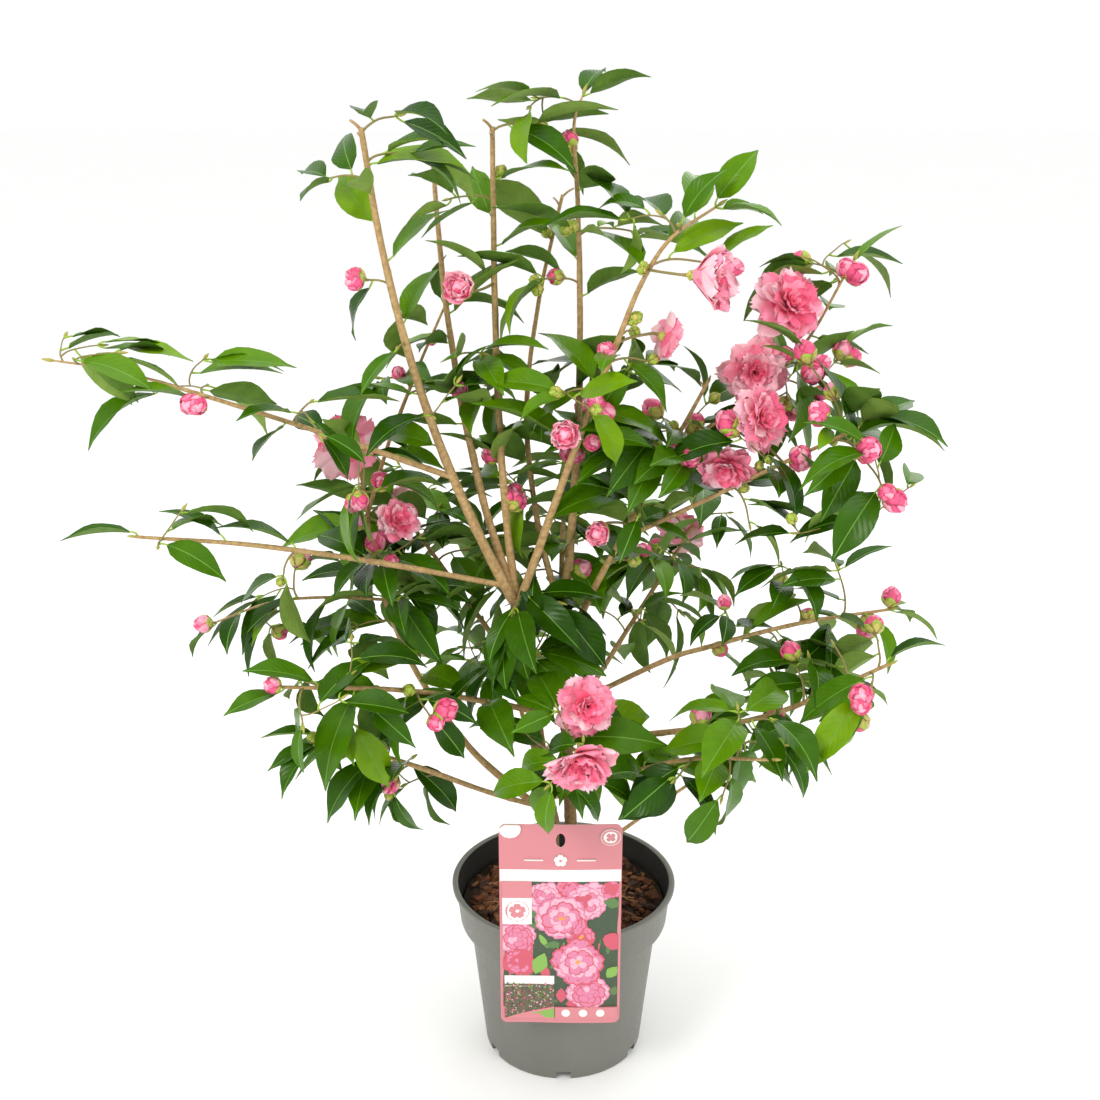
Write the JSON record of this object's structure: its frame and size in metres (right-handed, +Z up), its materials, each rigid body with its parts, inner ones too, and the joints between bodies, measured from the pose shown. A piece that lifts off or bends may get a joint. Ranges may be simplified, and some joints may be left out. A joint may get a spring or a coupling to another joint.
{
  "type": "potted camellia shrub",
  "caption": "Young evergreen camellia shrub with several stems, glossy leaves and pink double flowers and buds, in a plain nursery pot with a hanging picture label.",
  "frame": {"origin": "centre of the pot's flat underside, where it stands", "axes": "+Z up along the pot's axis; -Y is the front, where the label hangs; +X is to the right seen from the front"},
  "size_m": [0.82, 0.5267, 1.0014],
  "materials": {
    "pot_plastic": "satin",
    "bark_compost": "matte",
    "label_card": "gloss",
    "old_bark": "matte",
    "young_bark": "matte",
    "foliage": "satin"
  },
  "bodies": {
    "root": {"pot": "pot_plastic", "soil": "bark_compost", "label": "label_card", "left_trunk": "old_bark", "right_trunk": "old_bark", "arm_far_right": "young_bark", "arm_lower_left": "young_bark", "arm_lower_right": "young_bark", "arm_upper_left": "young_bark", "arm_upper_right": "young_bark", "bough_back_high": "young_bark", "bough_back_left": "young_bark", "bough_back_low": "young_bark", "bough_back_right": "young_bark", "bough_front": "young_bark", "bough_front_left": "young_bark", "bough_front_right": "young_bark", "bough_low_left": "young_bark", "bough_low_right": "young_bark", "bough_right": "young_bark", "leader_inner": "young_bark", "leader_left": "young_bark", "leader_mid_left": "young_bark", "leader_middle": "young_bark", "leader_right": "young_bark", "leader_tall": "young_bark", "shoot_right": "young_bark", "stem_left": "young_bark", "stem_left_fork": "young_bark", "twig_left": "young_bark", "leaves_back_high": "foliage", "leaves_back_left": "foliage", "leaves_back_low": "foliage", "leaves_back_right": "foliage", "leaves_centre": "foliage", "leaves_far_right": "foliage", "leaves_flower_left": "foliage", "leaves_fork_left": "foliage", "leaves_front": "foliage", "leaves_front_left": "foliage", "leaves_front_right": "foliage", "leaves_inner": "foliage", "leaves_leader_left": "foliage", "leaves_leader_right": "foliage", "leaves_left": "foliage", "leaves_low_left": "foliage", "leaves_low_right": "foliage", "leaves_lower_right": "foliage", "leaves_middle": "foliage", "leaves_right": "foliage", "leaves_tall": "foliage", "leaves_twig_left": "foliage", "leaves_upper_left": "foliage", "leaves_upper_right": "foliage", "tip_lower_left": "foliage", "tip_upper_left": "foliage", "top_left": "foliage", "top_middle": "foliage", "top_right": "foliage", "top_tall": "foliage"}
  },
  "joints": []
}
